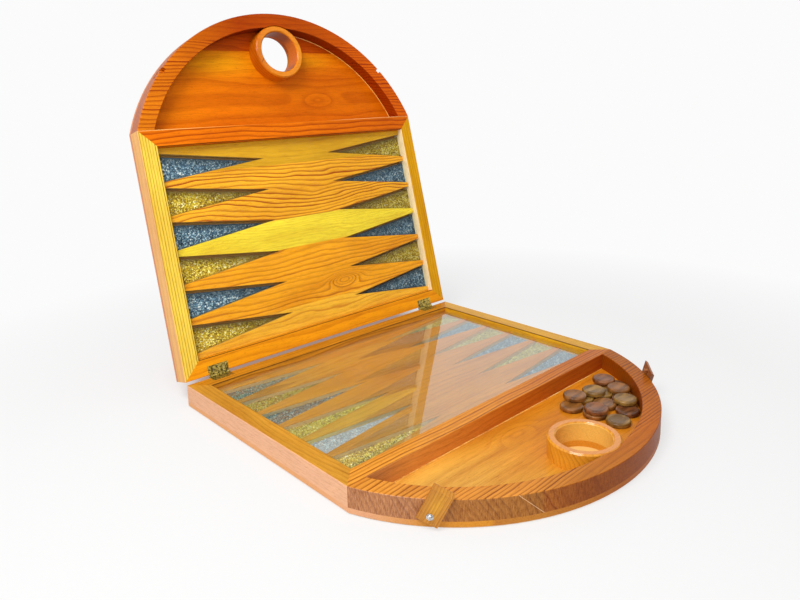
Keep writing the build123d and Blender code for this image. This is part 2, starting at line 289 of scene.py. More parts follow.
def skin_mask(shader, kind, x, y, z):
    """One on a named face of a leaf and nothing elsewhere. The last of them, "face", is the top."""
    if kind in ("outer", "inner"):
        far = shader.math("MAXIMUM", shader.math("SUBTRACT", y, RIM_CENTRE), STRAIGHT_DEPTH - RIM_CENTRE)
        radius = shader.reach(x, far)
        if kind == "outer":
            return shader.remap(radius, 0.0, 1.0, RIM_RADIUS - 0.6, RIM_RADIUS - 0.3)
        return shader.remap(radius, 1.0, 0.0, RIM_INNER_RADIUS + 0.2, RIM_INNER_RADIUS + 0.5)
    if kind == "tray wall":
        return shader.remap(y, 0.0, 1.0, STRAIGHT_DEPTH - 0.5, STRAIGHT_DEPTH - 0.2)
    if kind == "field wall":
        return shader.remap(shader.math("ABSOLUTE", x), 1.0, 0.0, FIELD_HALF_WIDTH + 0.2, FIELD_HALF_WIDTH + 0.5)
    # The frame's top inner edge round the pane, which takes a painted shadow line
    if kind == "pane edge":
        aside = shader.math("SUBTRACT", shader.math("ABSOLUTE", x), FIELD_HALF_WIDTH)
        beyond = shader.math("ABSOLUTE", shader.math("SUBTRACT", y, FIELD_MIDDLE))
        beyond = shader.math("SUBTRACT", beyond, FIELD_HALF_DEPTH)
        near = shader.remap(shader.math("MAXIMUM", aside, beyond), 1.0, 0.0, 0.7, 1.2)
        return shader.math("MULTIPLY", near, shader.remap(z, 0.0, 1.0, FACE_HEIGHT - 1.4, FACE_HEIGHT - 0.8))
    if kind == "field floor":
        end = FIELD_MIDDLE + FIELD_HALF_DEPTH
        before = shader.remap(y, 1.0, 0.0, end, end + 0.5)
        return shader.math("MULTIPLY", before, shader.remap(z, 0.0, 1.0, TRAY_FLOOR - 0.4, TRAY_FLOOR - 0.2))
    if kind == "cut wall":
        return shader.remap(z, 1.0, 0.0, BOARD_TOP - 0.6, BOARD_TOP - 0.3)
    # The divider's tray-side top bevel, which takes a painted highlight
    if kind == "tray bevel":
        edge = shader.remap(y, 0.0, 1.0, STRAIGHT_DEPTH - 1.1, STRAIGHT_DEPTH - 0.7)
        return shader.math("MULTIPLY", edge, shader.remap(z, 0.0, 1.0, FACE_HEIGHT - 1.1, FACE_HEIGHT - 0.7))
    if kind == "bore":
        radius = shader.reach(x, shader.math("SUBTRACT", y, RING_CENTRE))
        return shader.remap(radius, 1.0, 0.0, HOLE_RADIUS + 0.2, HOLE_RADIUS + 0.6)
    return shader.remap(z, 0.0, 1.0, FACE_HEIGHT - 0.5, FACE_HEIGHT - 0.2)


def pine(name, matrix, planks, grain="X", pith=(0.0, -60.0), wobble=14.0, knots=(), drift=(), patches=(), skins=(),
         glue=(), tip=0.0, rays=0.0, shine=0.12, coat=0.06):
    """Varnished pine with growth rings round a pith, waves along the grain, knots, fibres and pores.

    A knot is (along, across, length, width, height in rings). The drift multiplies the colour along X.
    A patch is (x, y, length, width, colour) and multiplies. A skin is (face, stops along X, weight).
    A glue line is (point, normal, half width, colour, face). The tip makes the latewood lines sharper, and
    the rays are short upright flecks on the outer face.
    """
    shader = Shader(name)
    x, y, z = shader.leaf_coordinates(matrix)
    along, across = (x, y) if grain == "X" else (y, x)
    places = (along, across, z)
    many = len(planks) > 1
    if many:
        seed = across_planks(shader, across, planks, lambda plank: plank.seed / SEED_RANGE)
        seed = shader.math("MULTIPLY", seed, SEED_RANGE)
    else:
        seed = planks[0].seed
    waves = shader.noise(shader.stretched(places, WAVES), seed, 1.5)
    ripples = shader.noise(shader.stretched(places, RIPPLES), seed, 1.0)
    shift = shader.math("MULTIPLY", shader.math("SUBTRACT", waves, 0.5), wobble * 2)
    shift = shader.math("MULTIPLY_ADD", shader.math("SUBTRACT", ripples, 0.5), wobble * RIPPLE_SHARE, shift)
    from_pith = shader.math("ADD", shader.math("SUBTRACT", across, pith[0]), shift)
    depth = shader.math("SUBTRACT", z, pith[1])
    radius = shader.reach(from_pith, depth)
    if many:
        gap = across_planks(shader, across, planks, lambda plank: plank.gap / GAP_RANGE)
        field = shader.math("DIVIDE", radius, shader.math("MULTIPLY", gap, GAP_RANGE))
    else:
        field = shader.math("DIVIDE", radius, planks[0].gap)
    for at_along, at_across, length, width, height in knots:
        field = shader.math("ADD", field, shader.math(
            "MULTIPLY", shader.hill(along, across, at_along, at_across, length, width), height))
    ring = shader.math("FRACT", field)
    number = shader.math("FLOOR", field)
    chance = shader.node("TexWhiteNoise", noise_dimensions="1D")
    shader.feed(chance.inputs["W"], number)
    latewood = shader.ramp(ring, [
        (0.0, 0.3), (0.08, 0.0), (0.42 + tip * 0.2, 0.08), (0.72 + tip * 0.1, 0.55), (0.9, 1.0), (1.0, 0.6)])
    strength = shader.remap(chance.outputs["Value"], 0.35, 1.0)
    contrast = across_planks(shader, across, planks, lambda plank: plank.contrast)
    latewood = shader.math("MULTIPLY", latewood, shader.math("MULTIPLY", strength, contrast))
    light = across_planks(shader, across, planks, lambda plank: plank.light)
    dark = across_planks(shader, across, planks, lambda plank: plank.dark)
    colour = shader.mix(latewood, light, dark)
    clouds = shader.noise(shader.stretched(places, CLOUDS), seed, 2.0)
    fibres = shader.noise(shader.stretched(places, FIBRES), seed, 3.0, 0.6)
    pores = shader.noise(shader.stretched(places, PORES), seed, 1.0)
    tone = shader.ramp(clouds, [(0.25, srgb(236, 222, 205)), (0.5, srgb(250, 250, 250)), (0.78, (1.12, 1.14, 1.2))])
    colour = shader.mix(1.0, colour, tone, "MULTIPLY")
    for kind, stops, weight in skins:
        mask = skin_mask(shader, kind, x, y, z)
        colour = shader.mix(shader.math("MULTIPLY", mask, weight), colour, along_hinge(shader, x, stops))
    streaks = shader.ramp(fibres, [(0.28, srgb(214, 196, 170)), (0.5, (1.0, 1.0, 1.0)), (0.75, (1.08, 1.08, 1.05))])
    colour = shader.mix(0.8, colour, streaks, "MULTIPLY")
    flecks = shader.ramp(pores, [(0.0, srgb(150, 96, 50)), (0.3, srgb(205, 170, 130)), (0.36, (1.0, 1.0, 1.0))])
    colour = shader.mix(0.7, colour, flecks, "MULTIPLY")
    if rays:
        figure = shader.ramp(shader.noise(shader.stretched((x, y, z), RAYS), 2.0, 2.0), [
            (0.32, srgb(190, 152, 116)), (0.5, srgb(244, 238, 230)), (0.66, (1.16, 1.18, 1.2))])
        mask = shader.math("MULTIPLY", skin_mask(shader, "outer", x, y, z), shader.remap(x, 0.15, rays, -40.0, 90.0))
        colour = shader.mix(mask, colour, figure, "MULTIPLY")
    if drift:
        colour = shader.mix(1.0, colour, along_hinge(shader, x, drift), "MULTIPLY")
    for at_x, at_y, length, width, shade in patches:
        colour = shader.mix(shader.hill(x, y, at_x, at_y, length, width), colour, shader.mix(
            1.0, colour, shade, "MULTIPLY"))
    for point, normal, half_width, shade, face in glue:
        level = sum(a * b for a, b in zip(point, normal))
        away = shader.math("ADD", shader.math("MULTIPLY", x, normal[0]), shader.math(
            "MULTIPLY_ADD", y, normal[1], shader.math("MULTIPLY_ADD", z, normal[2], -level)))
        line = shader.remap(shader.math("ABSOLUTE", away), 0.85, 0.0, half_width * 0.6, half_width)
        near = shader.hill(x, y, point[0], point[1], GLUE_LENGTH, GLUE_LENGTH)
        near = shader.math("GREATER_THAN", near, 0.4)
        line = shader.math("MULTIPLY", line, shader.math("MULTIPLY", near, skin_mask(shader, face, x, y, z)))
        colour = shader.mix(line, colour, shade)
    height = shader.math("MULTIPLY_ADD", latewood, 0.6, shader.math("MULTIPLY", fibres, 0.4))
    normal = shader.bump(height, GRAIN_DEPTH, 0.6)
    gloss = shader.remap(
        shader.math("ADD", fibres, latewood), WOOD_ROUGHNESS + 0.06, WOOD_ROUGHNESS - 0.1, 0.3, 1.4)
    shader.principled(
        Base_Color=colour, Roughness=gloss, Normal=normal, Specular_IOR_Level=shine, Coat_Weight=coat,
        Coat_Roughness=0.12)
    return shader.material


# The pointed beds in a leaf: Y of the first edge, pitch, half the width at the base, and the tips' distance from X 0
BED_START = 28.3
BED_PITCH = 43.6
BED_HALF_BASE = 18.4
BED_TIP = 54.0

# Lengths of the mineral's figures in millimetres, and the colour that it pales to
MINERAL_MOTTLE = (1.1, 1.1, 1.1)
MINERAL_DRIFT = (14.0, 9.0, 9.0)
MINERAL_HAZE = srgb(206, 228, 232)


def granules(name, leaf, stops, shade, veil, haze, mute, spread):
    """Crushed mineral in the colours of the stops. Each chip of a spread layer has a colour of its own.

    In the upper leaf the beds darken to the shade under their upper edges, at their tips and towards +X.
    In the lower leaf the mute colour evens them out. There, on the +X side, the veil tints them towards the
    hinge, and the haze pales them towards the divider.
    """
    shader = Shader(name)
    x, y, z = shader.leaf_coordinates(LEAVES[leaf])
    mottle = shader.noise(shader.stretched((x, y, z), MINERAL_MOTTLE), 0.0, 2.0)
    drift = shader.noise(shader.stretched((x, y, z), MINERAL_DRIFT), 3.0, 2.0)
    pick = shader.math("MULTIPLY", shader.math("SUBTRACT", drift, 0.5), 0.7)
    if spread:
        chance = shader.node("NewGeometry").outputs["Random Per Island"]
        pick = shader.math("ADD", pick, chance)
        pick = shader.math("ADD", pick, shader.math("MULTIPLY", shader.math("SUBTRACT", mottle, 0.5), 0.3))
    else:
        pick = shader.math("ADD", pick, shader.remap(mottle, -0.1, 0.6, 0.25, 0.75))
    colour = shader.ramp(pick, stops)
    if leaf == "upper":
        from_tip = shader.remap(shader.math("ABSOLUTE", x), 0.0, 1.0, BED_TIP, FIELD_HALF_WIDTH)
        saw = shader.math("FRACT", shader.math("DIVIDE", shader.math("SUBTRACT", y, BED_START), BED_PITCH))
        edge = shader.math("MULTIPLY_ADD", from_tip, BED_HALF_BASE, BED_HALF_BASE)
        below = shader.math("SUBTRACT", edge, shader.math("MULTIPLY", saw, BED_PITCH))
        lit = shader.math("MULTIPLY", shader.remap(below, 0.12, 1.0, 3.0, 15.0), shader.remap(
            from_tip, 0.45, 1.0, 0.15, 0.75))
        lit = shader.math("MULTIPLY", lit, shader.remap(x, 1.0, 0.6, -60.0, 60.0))
        colour = shader.mix(lit, shade, colour)
    else:
        colour = shader.mix(shader.remap(x, 0.62, 0.34, -40.0, 40.0), colour, mute)
        aside = shader.remap(x, 0.0, 1.0, 20.0, 110.0)
        tinted = shader.math("MULTIPLY", aside, shader.remap(y, 1.0, 0.0, 120.0, 235.0))
        colour = shader.mix(tinted, colour, shader.mix(1.0, colour, veil, "MULTIPLY"))
        pale = shader.math("MULTIPLY", aside, shader.remap(y, 0.0, haze, 150.0, 240.0))
        colour = shader.mix(pale, colour, MINERAL_HAZE)
    normal = shader.bump(mottle, 0.0002, 0.5)
    shader.principled(
        Base_Color=colour, Roughness=shader.remap(mottle, 0.15, 0.5), Normal=normal, Specular_IOR_Level=0.3,
        Coat_Weight=0.12, Coat_Roughness=0.1)
    return shader.material


# Glass: the last two are the lengths of its ripples and of the clouds in the dust, in millimetres
GLASS_IOR = 1.5
GLASS_TINT = (0.985, 0.995, 0.99)
DUST = (0.9, 0.9, 0.88)
GLASS_RIPPLES = (90.0, 90.0, 90.0)
DUST_CLOUDS = (18.0, 18.0, 18.0)


def clear_glass(name, mirror, head_on, haze):
    """Window glass with faint ripples and a film of dust.

    The mirror is the strength of its reflections, which rise at low angles. The head-on share is taken off them.
    """
    shader = Shader(name)
    places = shader.leaf_coordinates(Matrix.Identity(4))
    ripple = shader.noise(shader.stretched(places, GLASS_RIPPLES), 0.0, 1.0)
    dust = shader.noise(shader.stretched(places, DUST_CLOUDS), 4.0, 3.0)
    normal = shader.bump(ripple, 0.00004, 0.4)
    fresnel = shader.filled("Fresnel", IOR=GLASS_IOR)
    outside = shader.math("SUBTRACT", 1.0, shader.node("NewGeometry").outputs["Backfacing"])
    mirrored = shader.math("MULTIPLY", shader.math("SUBTRACT", fresnel, head_on), mirror)
    mirrored = shader.math("MULTIPLY", shader.math("MAXIMUM", mirrored, 0.0), outside)
    dusted = shader.math("MULTIPLY", shader.remap(dust, 0.6 * haze, 1.3 * haze, 0.3, 0.7), outside)
    dusty = shader.blend(
        dusted, shader.filled("BsdfTransparent", Color=GLASS_TINT), shader.filled("BsdfDiffuse", Color=DUST))
    glossy = shader.filled("BsdfGlossy", Color=(1.0, 1.0, 1.0), Roughness=0.0, Normal=normal)
    shader.feed(shader.output.inputs["Surface"], shader.blend(mirrored, dusty, glossy))
    return shader.material


def mottled_brass(name, bright, dull, patina):
    """Aged brass with green and brown patina in blotches and fine rolling marks."""
    shader = Shader(name)
    places = shader.leaf_coordinates(Matrix.Identity(4))
    blotches = shader.noise(shader.stretched(places, (3.4, 3.4, 3.4)), 1.0, 3.0, 0.65)
    spots = shader.noise(shader.stretched(places, (1.3, 1.3, 1.3)), 5.0, 2.0)
    colour = shader.ramp(blotches, [(0.36, patina), (0.46, dull), (0.55, bright), (0.66, dull)])
    colour = shader.mix(shader.ramp(spots, [(0.54, 0.0), (0.64, 0.9)]), colour, patina)
    normal = shader.bump(spots, 0.00012, 0.5)
    shader.principled(
        Base_Color=colour, Metallic=shader.remap(blotches, 0.55, 1.0, 0.35, 0.55),
        Roughness=shader.remap(spots, 0.26, 0.6, 0.35, 0.7), Normal=normal)
    return shader.material


def bright_steel(name):
    """Plated steel with fine turning marks and a little grime."""
    shader = Shader(name)
    places = shader.leaf_coordinates(Matrix.Identity(4))
    marks = shader.noise(shader.stretched(places, (0.3, 0.3, 0.08)), 0.0, 2.0)
    grime = shader.noise(shader.stretched(places, (1.6, 1.6, 1.6)), 2.0, 2.0)
    colour = shader.ramp(grime, [(0.35, srgb(150, 146, 140)), (0.6, srgb(226, 226, 228))])
    normal = shader.bump(marks, 0.00003, 0.4)
    shader.principled(
        Base_Color=colour, Metallic=1.0, Roughness=shader.remap(marks, 0.14, 0.3), Normal=normal)
    return shader.material


def walnut(name, light, dark, seed):
    """Polished dark wood with cloudy figure and fine pores."""
    shader = Shader(name)
    places = shader.leaf_coordinates(Matrix.Identity(4))
    figure = shader.noise(shader.stretched(places, (34.0, 8.0, 8.0)), seed, 2.0)
    pores = shader.noise(shader.stretched(places, (3.0, 0.3, 0.3)), seed + 3, 2.0)
    colour = shader.mix(shader.ramp(figure, [(0.36, 0.0), (0.6, 1.0)]), light, dark)
    colour = shader.mix(shader.ramp(pores, [(0.32, 0.45), (0.46, 0.0)]), colour, srgb(58, 34, 20))
    normal = shader.bump(pores, 0.00003, 0.4)
    shader.principled(
        Base_Color=colour, Roughness=shader.remap(pores, 0.36, 0.24), Normal=normal, Specular_IOR_Level=0.2,
        Coat_Weight=0.22, Coat_Roughness=0.1)
    return shader.material


def dress(node, material):
    """The CAD node wears the material instead of its plain one."""
    slots = nodes[node].data.materials
    slots.clear()
    slots.append(material)


# Colours of the boards, light wood first and latewood second
BUTTER = (srgb(238, 164, 52), srgb(196, 106, 22))
TAN = (srgb(206, 146, 48), srgb(158, 96, 22))
OCHRE = (srgb(206, 136, 28), srgb(138, 76, 8))
CARAMEL = (srgb(230, 156, 58), srgb(138, 66, 12))
GINGER = (srgb(232, 154, 60), srgb(134, 64, 12))
TOFFEE = (srgb(226, 148, 56), srgb(146, 74, 16))
HONEY = (srgb(222, 166, 30), srgb(176, 108, 12))
PEACH = (srgb(232, 160, 44), srgb(170, 88, 16))
DEEP = (srgb(226, 122, 6), srgb(166, 62, 0))
EMBER = (srgb(236, 122, 6), srgb(166, 62, 0))
RED = (srgb(190, 78, 4), srgb(140, 36, 0))
MELON = (srgb(255, 194, 54), srgb(200, 92, 12))
TANGERINE = (srgb(254, 174, 28), srgb(174, 66, 2))
YELLOW = (srgb(252, 224, 60), srgb(222, 166, 20))
APRICOT = (srgb(255, 184, 40), srgb(170, 64, 4))
ORANGE = (srgb(244, 160, 16), srgb(182, 78, 2))
STRAW = (srgb(252, 214, 80), srgb(146, 108, 12))
MUSTARD = (srgb(224, 162, 24), srgb(176, 108, 12))
AMBER = (srgb(232, 150, 22), srgb(172, 78, 6))
RUSSET = (srgb(238, 156, 24), srgb(160, 66, 4))
PURPLISH = (170, 126, 104)
# Painted shadow: a dark line on the frame's top inner edge round each pane, for the shade in the gap beside the glass
PAINTED_GAP_SHADOW = evenly(74, 44, 12)

# The lower leaf
dress("lower_base_panel", pine("pine_boards_lower", LOWER, [
    Plank(*BUTTER, gap=5.0, contrast=0.4, seed=1.2),
    Plank(*BUTTER, start=372.0, gap=6.5, contrast=0.35, seed=4.4),
    Plank(*BUTTER, start=419.0, gap=4.0, contrast=0.4, seed=7.3),
], pith=(330.0, -30.0), knots=[(14.0, 338.0, 30.0, 13.0, 2.4)], wobble=20.0, skins=[
    ("outer", [(-225, (206, 160, 130)), (-120, (172, 94, 36)), (60, (176, 96, 26)), (147.5, (176, 96, 26)),
               (149.5, (208, 124, 22)), (190, (202, 120, 30)), (206, (212, 138, 70)), (225, (222, 158, 110))], 0.85),
    ("bore", evenly(238, 176, 80), 0.7)],
    drift=[(-225, (236, 212, 140)), (-100, (238, 216, 146)), (20, (228, 212, 176)), (130, (246, 250, 244)),
           (225, (250, 255, 255))],
    patches=[(150.0, 360.0, 90.0, 60.0, (1.0, 1.22, 2.5)), (60.0, 440.0, 90.0, 26.0, (1.14, 1.5, 2.4))]))
dress("lower_field_board", pine("pine_field_lower", LOWER, [
    Plank(*TAN, gap=6.0, contrast=0.5, seed=2.1),
    Plank(*TAN, start=110.0, gap=8.0, contrast=0.6, seed=5.7),
    Plank(*TAN, start=215.0, gap=5.0, contrast=0.5, seed=8.9),
# Painted light: the walls of the openings are paler than the board, for the light they catch
], pith=(330.0, -50.0), wobble=20.0, skins=[("cut wall", evenly(222, 200, 150), 0.85)],
    drift=[(-225, (255, 240, 240)), (40, (255, 250, 240)), (120, (236, 248, 255)), (225, (236, 248, 255))]))
dress("lower_hinge_rail", pine(
    "pine_hinge_rail_lower", LOWER, [Plank(*OCHRE, gap=3.6, contrast=0.8, seed=3.1)], pith=(60.0, -20.0),
    skins=[("pane edge", PAINTED_GAP_SHADOW, 0.8)], coat=0.02))
dress("lower_divider_rail", pine(
    "pine_divider_rail_lower", LOWER, [Plank(*CARAMEL, gap=3.6, contrast=1.15, seed=6.3)], pith=(360.0, -10.0),
    wobble=9.0, tip=0.5, skins=[
        # Painted light and shade: the tray wall is darker towards -X and palest near +X
        ("tray wall", [(-200, (186, 94, 34)), (0, (216, 124, 40)), (140, (230, 156, 84)), (205, (196, 134, 92))], 0.8),
        ("pane edge", PAINTED_GAP_SHADOW, 0.5)],
    drift=[(-225, (226, 194, 150)), (-100, (232, 204, 160)), (60, (250, 240, 206)), (225, (255, 252, 240))],
    coat=0.12))
dress("lower_left_stile", pine(
    "pine_left_stile_lower", LOWER, [Plank(*TAN, gap=4.4, contrast=0.5, seed=1.7)], "Y", pith=(150.0, 0.0), skins=[
        ("outer", evenly(226, 174, 140), 0.85), ("pane edge", PAINTED_GAP_SHADOW, 0.8)]))
dress("lower_right_stile", pine(
    "pine_right_stile_lower", LOWER, [Plank(*HONEY, gap=4.0, contrast=0.6, seed=2.9)], "Y", pith=(-150.0, 0.0),
    coat=0.2, skins=[("outer", evenly(216, 152, 100), 0.85), ("pane edge", PAINTED_GAP_SHADOW, 0.8)]))
dress("lower_arch_rim", pine(
    "pine_rim_lower", LOWER, [
        Plank(*GINGER, gap=4.2, contrast=1.25, seed=9.4),
        Plank(*TOFFEE, start=452.0, gap=6.0, contrast=0.45, seed=6.1),
    ], pith=(240.0, -30.0), wobble=13.0, tip=0.5,
    skins=[
        # Painted reflection: the outer face pales to lilac grey at -X, a sheen of the pale surroundings at a grazing
        # angle
        ("outer", [(-225, (184, 152, 146)), (-120, (164, 92, 44)), (-60, (154, 80, 36)), (60, (152, 76, 32)),
                   (106, (164, 94, 46)), (112, (156, 108, 60)), (170, (158, 110, 68)), (200, PURPLISH),
                   (225, PURPLISH)], 0.72),
        ("inner", [(-225, (186, 100, 30)), (-100, (160, 84, 24)), (225, (210, 130, 50))], 0.7)],
    drift=[(-225, (196, 168, 96)), (-60, (206, 172, 112)), (60, (208, 196, 178)), (150, (240, 236, 228)),
           (225, (246, 244, 236))], rays=0.75, shine=0.08,
    glue=[((119.0, 438.9, 17.7), (-0.5655, 0.326, 0.7576), 0.24, srgb(236, 194, 150), "outer")], coat=0.07))
dress("lower_grip_ring", pine(
    "pine_ring_lower", LOWER, [Plank(*PEACH, gap=4.5, contrast=0.6, seed=3.9)],
    pith=(330.0, -30.0), coat=0.5, skins=[
        ("face", evenly(214, 142, 82), 0.75),
        # Painted light and shade: the bore is pale at -X and darker brown at +X
        ("bore", [(-28, (238, 190, 96)), (0, (228, 168, 80)), (24, (190, 116, 60))], 0.8)]))

# The upper leaf
dress("upper_base_panel", pine("pine_boards_upper", UPPER, [
    Plank(*DEEP, gap=6.0, contrast=0.5, seed=2.7),
    Plank(*DEEP, start=384.0, gap=7.0, contrast=0.35, seed=1.3),
    Plank(*RED, start=420.5, gap=5.0, contrast=0.5, seed=8.5),
], pith=(350.0, -40.0), knots=[(65.0, 348.0, 30.0, 11.0, 2.2)], wobble=18.0, patches=[
    (-90.0, 405.0, 70.0, 18.0, (1.1, 1.85, 2.4)), (60.0, 408.0, 40.0, 12.0, (1.06, 1.6, 1.6)),
    (-160.0, 335.0, 40.0, 30.0, (1.0, 1.1, 1.2))], shine=0.05, coat=0.02,
    skins=[("outer", evenly(206, 150, 120), 0.8),
           # Painted light: the floor of the pockets, deep in shade, is made a pale olive tan
           ("field floor", evenly(206, 168, 92), 0.85),
           ("bore", evenly(176, 96, 30), 0.7)],
    drift=[(-225, (255, 246, 240)), (0, (250, 236, 224)), (225, (248, 228, 204))]))
dress("upper_field_board", pine("pine_field_upper", UPPER, [
    Plank(*MELON, gap=6.0, contrast=0.7, seed=4.1),
    Plank(*TANGERINE, start=52.0, gap=6.6, contrast=0.85, seed=6.6),
    Plank(*YELLOW, start=134.5, gap=3.4, contrast=0.5, seed=1.9),
    Plank(*APRICOT, start=176.5, gap=4.8, contrast=1.45, seed=3.3),
    Plank(*HONEY, start=254.0, gap=6.0, contrast=0.3, seed=9.2),
], pith=(345.0, -40.0), knots=[(41.0, 74.5, 26.0, 9.5, 5.5)], wobble=24.0, tip=0.5, shine=0.08, coat=0.02,
    # Painted light: the walls of the openings are paler than the board, for light reaching into them where they lie in
    # shade
    skins=[("cut wall", [(-225, (214, 176, 92)), (225, (196, 150, 80))], 0.85)]))
dress("upper_hinge_rail", pine(
    "pine_hinge_rail_upper", UPPER, [Plank(*ORANGE, gap=6.0, contrast=0.5, seed=5.5)], pith=(40.0, -20.0), shine=0.06,
    coat=0.03, skins=[("pane edge", PAINTED_GAP_SHADOW, 0.85)]))
dress("upper_divider_rail", pine(
    "pine_divider_rail_upper", UPPER, [Plank(*EMBER, gap=4.6, contrast=1.25, seed=7.7)], pith=(330.0, -12.0),
    wobble=18.0, tip=0.5, shine=0.06, coat=0.03, drift=[(-225, (255, 255, 255)), (225, (246, 236, 226))], skins=[
        ("pane edge", PAINTED_GAP_SHADOW, 0.8),
        # Painted highlight: a pale line along the divider's tray-side bevel, strongest at both ends
        ("tray bevel", [(-190, (254, 200, 120)), (-110, (244, 160, 60)), (-50, (220, 116, 16)), (60, (220, 116, 16)),
                        (110, (250, 190, 120)), (190, (248, 196, 130))], 0.9)]))
dress("upper_left_stile", pine(
    "pine_left_stile_upper", UPPER, [Plank(*STRAW, gap=3.2, contrast=1.35, seed=2.2)], "Y",
    pith=(-150.0, 0.0), wobble=2.5, tip=0.5, shine=0.08, coat=0.03,
    skins=[("outer", evenly(226, 166, 112), 0.8), ("pane edge", PAINTED_GAP_SHADOW, 0.8)]))
dress("upper_right_stile", pine(
    "pine_right_stile_upper", UPPER, [Plank(*MUSTARD, gap=4.6, contrast=0.5, seed=8.1)], "Y", pith=(150.0, 0.0),
    wobble=6.0, shine=0.03, coat=0.0,
    # Painted light: the stile's inner wall beside the pane is pale, as if brightly lit
    skins=[("outer", evenly(216, 152, 100), 0.85), ("field wall", evenly(250, 236, 196), 0.85)]))
dress("upper_arch_rim", pine(
    "pine_rim_upper", UPPER, [
        Plank(*RUSSET, gap=4.2, contrast=1.4, seed=4.8),
        Plank(*AMBER, start=428.0, gap=7.0, contrast=0.5, seed=2.3),
    ], pith=(250.0, -30.0), wobble=16.0,
    skins=[
        ("outer", [(-225, (176, 130, 116)), (-100, (180, 130, 104)), (225, (190, 124, 84))], 0.75),
        ("inner", [(-225, (150, 72, 12)), (225, (146, 62, 6))], 0.7)], tip=0.5, shine=0.06, coat=0.03,
    drift=[(-225, (236, 206, 196)), (-160, (224, 184, 156)), (-60, (182, 110, 26)), (60, (200, 134, 70)),
           (170, (232, 160, 84)), (225, (240, 168, 84))]))
dress("upper_grip_ring", pine(
    "pine_ring_upper", UPPER, [Plank(*ORANGE, gap=5.0, contrast=0.5, seed=1.1)], pith=(390.0, -30.0), coat=0.15,
    shine=0.06, skins=[
        ("face", evenly(250, 180, 62), 0.7),
        # Painted shade and light: the bore is dark brown, darkest in the middle, with a painted lit band near +X
        ("bore", [(-29, (150, 76, 20)), (0, (120, 54, 14)), (20, (150, 66, 12)), (26, (222, 120, 20))], 0.8)],
    drift=[(-40, (200, 156, 160)), (-20, (230, 196, 184)), (40, (232, 206, 190))],
    glue=[((-34.4, 398.1, 28.0), (0.787, -0.617, 0.0), 0.5, srgb(120, 50, 14), "face")]))


def latch_frame(side):
    """A latch's own frame: Y along its length, Z out of its face, from the screw."""
    joint = joints[side + "_latch_turn"]
    pivot = Vector(joint["pos_m"])
    out = Vector(joint["axis"])
    out *= -1 if out.dot(pivot) < 0 else 1
    out = -out if out.y > 0 else out
    points = [vertex.co for vertex in nodes[side + "_latch"].data.vertices]
    middle = sum(points, Vector()) / len(points)
    length = middle - pivot
    length -= out * length.dot(out)
    length.normalize()
    width = length.cross(out)
    turn = Matrix((width, length, out)).transposed()
    return Matrix.Translation(pivot) @ turn.to_4x4()


LATCH_WOODS = {
    "left": Plank(srgb(188, 124, 44), srgb(126, 72, 20), gap=3.0, contrast=0.6, seed=3.7),
    # The right latch is the same wood as the left; its darker colours are painted shade
    "right": Plank(srgb(160, 100, 66), srgb(104, 60, 40), gap=3.0, contrast=0.6, seed=5.2),
}
for side, plank in LATCH_WOODS.items():
    latch_wood = pine(
        "pine_latch_" + side, latch_frame(side), [plank], "Y", pith=(30.0, 0.0), wobble=6.0,
        patches=[(0.5, 13.0, 6.5, 14.0, (1.25, 1.45, 0.9))], coat=0.3)
    dress(side + "_latch", latch_wood)
    dress(side + "_latch_peg", latch_wood)

panes = {
    "lower": clear_glass("clear_glass_lower", mirror=1.6, head_on=0.0, haze=0.045),
    "upper": clear_glass("clear_glass_upper", mirror=1.0, head_on=0.06, haze=0.008),
}
brass = mottled_brass("aged_brass", srgb(222, 198, 104), srgb(130, 112, 44), srgb(44, 44, 20))
screw_brass = mottled_brass("brass_screws", srgb(206, 186, 112), srgb(140, 120, 60), srgb(70, 60, 28))
steel = bright_steel("bright_steel")
for leaf in LEAVES:
    dress(leaf + "_hinge_plates", brass)
    dress(leaf + "_hinge_screws", screw_brass)
dress("hinge_pins", brass)
dress("latch_screws", steel)
dress("latch_washers", steel)


def islands(node, matrix=Matrix.Identity(4)):
    """The lowest and highest corners of each separate solid in a node, in the frame of the matrix."""
    mesh = bmesh.new()
    mesh.from_mesh(nodes[node].data)
    bmesh.ops.transform(mesh, matrix=matrix.inverted(), verts=mesh.verts)
    bmesh.ops.remove_doubles(mesh, verts=mesh.verts, dist=1e-6)
    waiting = set(mesh.verts)
    boxes = []
    while waiting:
        found = [waiting.pop()]
        for vertex in found:
            for edge in vertex.link_edges:
                other = edge.other_vert(vertex)
                if other in waiting:
                    waiting.remove(other)
                    found.append(other)
        low = Vector([min(v.co[axis] for v in found) for axis in range(3)])
        high = Vector([max(v.co[axis] for v in found) for axis in range(3)])
        boxes.append((low, high))
    mesh.free()
    return sorted(boxes, key=lambda box: tuple(round(value, 4) for value in box[0]))


# The panes, in metres
PANE_LIFT = 0.00006
PANE_BEVEL = 0.0003


def window(leaf):
    """The pane with eased edges, lifted off the board so that the two faces don't share a plane."""
    node = leaf + "_glass_pane"
    (low, high), = islands(node, LEAVES[leaf])
    low.z += PANE_LIFT
    mesh = bmesh.new()
    bmesh.ops.create_cube(mesh, size=1.0)
    bmesh.ops.scale(mesh, vec=high - low, verts=mesh.verts)
    bmesh.ops.translate(mesh, vec=(low + high) / 2, verts=mesh.verts)
    bmesh.ops.bevel(mesh, geom=mesh.edges[:], offset=PANE_BEVEL, segments=1, affect="EDGES")
    bmesh.ops.transform(mesh, matrix=LEAVES[leaf], verts=mesh.verts)
    piece = add_mesh(leaf + "_window", mesh, panes[leaf])
    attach(piece, BODIES[leaf])
    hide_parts(node)


for leaf in LEAVES:
    window(leaf)


